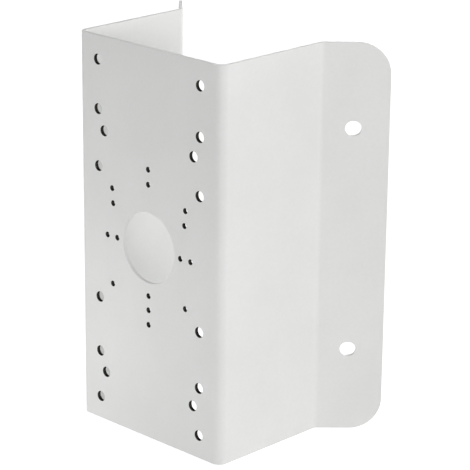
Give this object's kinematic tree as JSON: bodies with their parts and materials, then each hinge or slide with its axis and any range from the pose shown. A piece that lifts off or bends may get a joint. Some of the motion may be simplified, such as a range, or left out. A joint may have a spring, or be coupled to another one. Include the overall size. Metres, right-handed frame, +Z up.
{
  "type": "camera corner mount bracket",
  "caption": "Folded steel bracket that carries a wall camera on the outside corner of a building: drilled plate, side walls and angled flanges.",
  "frame": {"origin": "centre of the cable opening, on the front face of the camera plate", "axes": "+X across the plate, -Y out of the plate's front face towards the camera, +Z up along the folds"},
  "size_m": [0.1826, 0.1166, 0.25],
  "materials": {
    "powder_coat": "fine-textured satin white powder coat on steel sheet"
  },
  "bodies": {
    "root": {"bracket": "powder_coat"}
  },
  "joints": []
}
